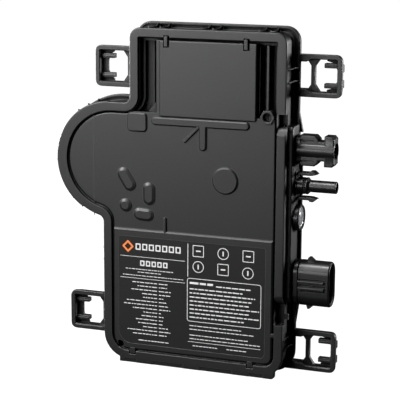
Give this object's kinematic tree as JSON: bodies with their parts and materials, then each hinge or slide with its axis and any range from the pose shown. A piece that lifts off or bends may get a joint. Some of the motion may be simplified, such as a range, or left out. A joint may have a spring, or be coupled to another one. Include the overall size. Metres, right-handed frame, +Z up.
{
  "type": "micro inverter",
  "caption": "Flat plastic-cased solar micro inverter with a round side lobe, corner mounting ears, plug-in DC and AC connectors and a status lens.",
  "frame": {"origin": "bottom centre of the bounding box, where the unit stands on its bottom edge", "axes": "+Z up along the tall side, +X to the right towards the connectors, the labelled front faces -Y and the mounting back faces +Y"},
  "size_m": [0.1771, 0.0302, 0.2115],
  "materials": {
    "housing_plastic": "fine satin moulded texture, charcoal",
    "connector_plastic": "satin moulded black",
    "label_film": "matt printed film, near black with pale print",
    "seal_rubber": "matt",
    "tinned_contact": "tinned, bright",
    "clear_lens": "clear, polished",
    "potting": "matt, slightly soft",
    "spreader_aluminium": "milled",
    "board_laminate": "green solder mask",
    "ferrite": "ground ceramic grey",
    "winding_tape": "yellow insulation tape",
    "copper": "bare and enamelled copper",
    "capacitor_can": "sleeved can",
    "chip_plastic": "moulded epoxy"
  },
  "bodies": {
    "inverter_body": {"housing": "housing_plastic", "front_lid": "housing_plastic", "mounting_ear_upper_left": "housing_plastic", "mounting_ear_upper_right": "housing_plastic", "mounting_ear_lower_left": "housing_plastic", "mounting_ear_lower_right": "housing_plastic", "lid_gasket": "seal_rubber", "label_plate": "label_film", "vent_plug": "seal_rubber", "dc_socket_housing": "connector_plastic", "dc_plug_housing": "connector_plastic", "ac_connector_base": "connector_plastic", "ac_connector_sleeve": "connector_plastic", "ac_connector_insert": "connector_plastic", "status_bezel": "connector_plastic", "ac_terminal_block": "connector_plastic", "dc_plug_seal": "seal_rubber", "ac_connector_seal": "seal_rubber", "dc_socket_pin": "tinned_contact", "dc_plug_contact": "tinned_contact", "ac_pin_1": "tinned_contact", "ac_pin_2": "tinned_contact", "ac_pin_3": "tinned_contact", "ac_pin_4": "tinned_contact", "status_lens": "clear_lens", "light_pipe": "clear_lens", "status_led": "clear_lens", "potting_compound": "potting", "heat_spreader": "spreader_aluminium", "main_board": "board_laminate", "transformer_core_front": "ferrite", "transformer_core_rear": "ferrite", "common_mode_choke": "ferrite", "transformer_winding": "winding_tape", "film_capacitor": "winding_tape", "filter_inductor": "copper", "dc_busbar_positive": "copper", "dc_busbar_negative": "copper", "dc_capacitor_1": "capacitor_can", "dc_switch_1": "chip_plastic", "ac_switch_1": "chip_plastic", "dc_capacitor_2": "capacitor_can", "dc_switch_2": "chip_plastic", "ac_switch_2": "chip_plastic", "dc_capacitor_3": "capacitor_can", "dc_switch_3": "chip_plastic", "ac_switch_3": "chip_plastic", "dc_capacitor_4": "capacitor_can", "dc_switch_4": "chip_plastic", "ac_switch_4": "chip_plastic", "grid_relay": "chip_plastic", "control_chip": "chip_plastic"},
    "latch_upper": {"dc_latch_upper": "connector_plastic"},
    "latch_lower": {"dc_latch_lower": "connector_plastic"}
  },
  "joints": [
    {"name": "latch_upper_flex", "type": "hinge", "parent": "inverter_body", "child": "latch_upper", "pos_m": [0.06455, 0, 0.1252], "axis": [0, 1, 0], "range_deg": [0, 7], "stiffness_Nm_per_rad": 0.06},
    {"name": "latch_lower_flex", "type": "hinge", "parent": "inverter_body", "child": "latch_lower", "pos_m": [0.06455, 0, 0.1104], "axis": [0, -1, 0], "range_deg": [0, 7], "stiffness_Nm_per_rad": 0.06}
  ]
}
